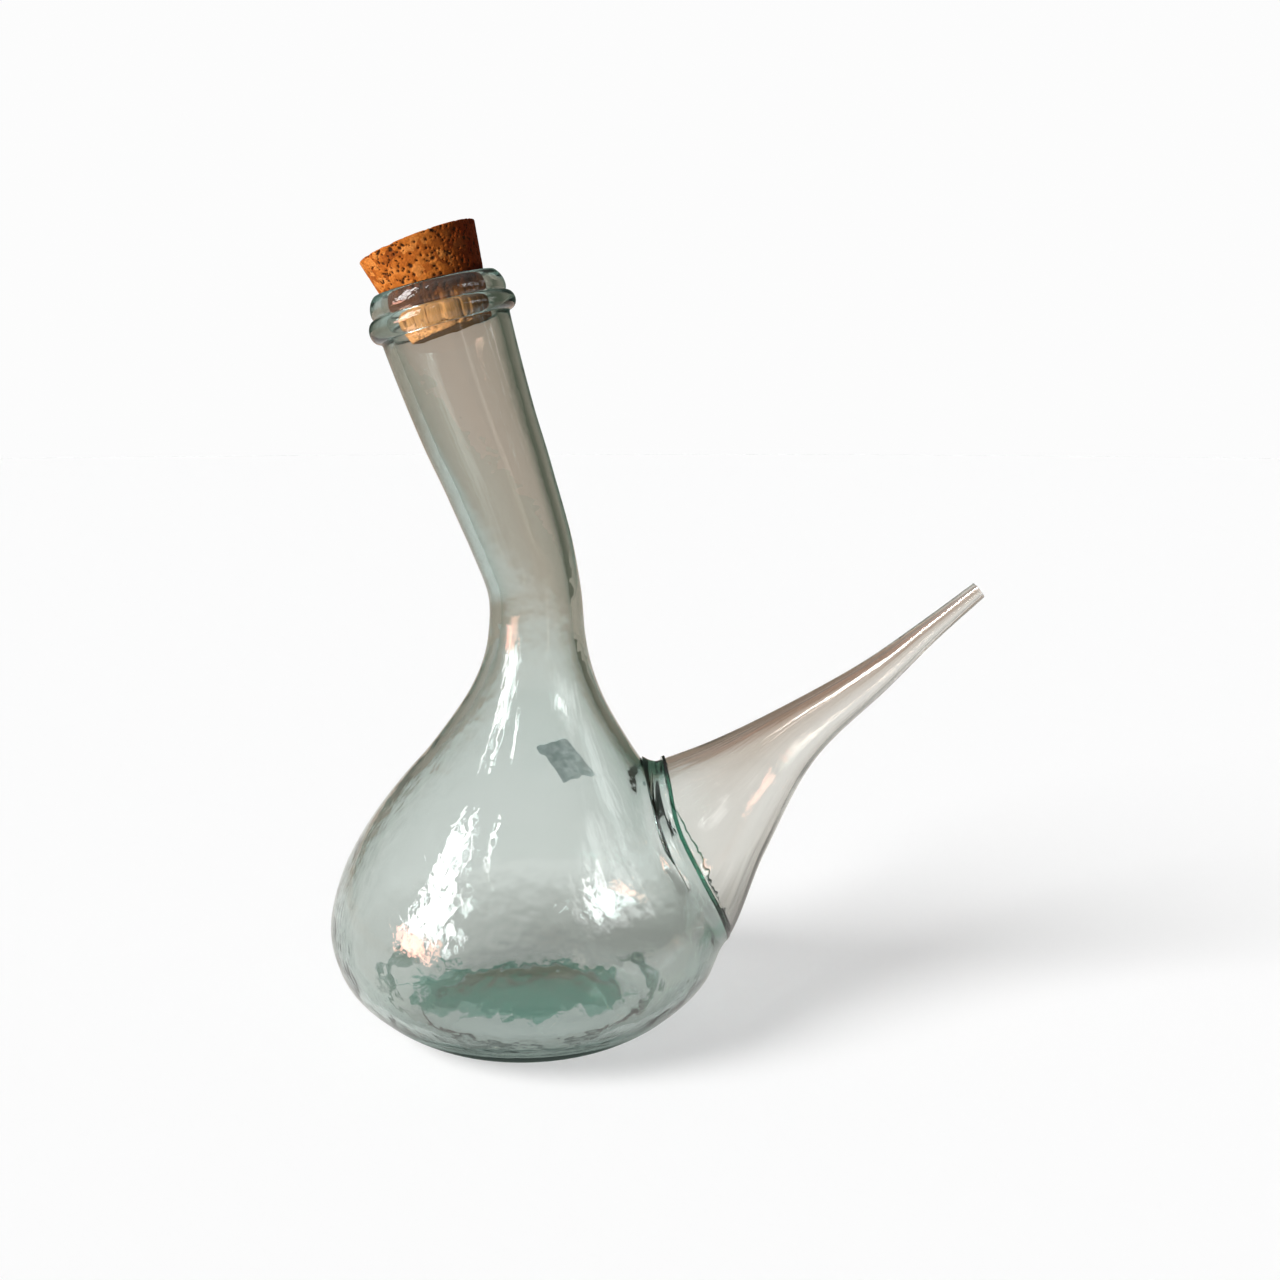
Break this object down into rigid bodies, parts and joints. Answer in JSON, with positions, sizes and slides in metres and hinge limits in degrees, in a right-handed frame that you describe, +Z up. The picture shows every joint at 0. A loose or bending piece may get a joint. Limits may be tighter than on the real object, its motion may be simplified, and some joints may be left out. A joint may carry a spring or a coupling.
{
  "type": "oil cruet",
  "caption": "Blown-glass porron-style cruet: pear-shaped bulb, neck bent back, drawn side spout welded to the wall, tapered cork that pulls out",
  "frame": {"origin": "the middle of the bounding box's footprint, on the plane that the foot stands on", "axes": "+Z up, +X from the bulb towards the spout in the plane of neck and spout, +Y to the side that carries the sticker"},
  "size_m": [0.2034, 0.1224, 0.2449],
  "materials": {
    "green_glass": "hand-blown, glossy, slightly wavy, pale sea green with dark green edges",
    "clear_glass": "drawn, glossy, colourless",
    "weld_glass": "run bead, glossy, dark green",
    "cork": "pressed cork granules, matt, pitted",
    "paper": "bare worn paper, matt"
  },
  "bodies": {
    "vessel": {"glass_body": "green_glass", "spout": "clear_glass", "spout_weld": "weld_glass", "paper_sticker": "paper"},
    "stopper": {"cork_stopper": "cork"}
  },
  "joints": [
    {"name": "cork_pull", "type": "slide", "parent": "vessel", "child": "stopper", "axis": [-0.3584, 0, 0.9336], "range_m": [0, 0.05]}
  ]
}
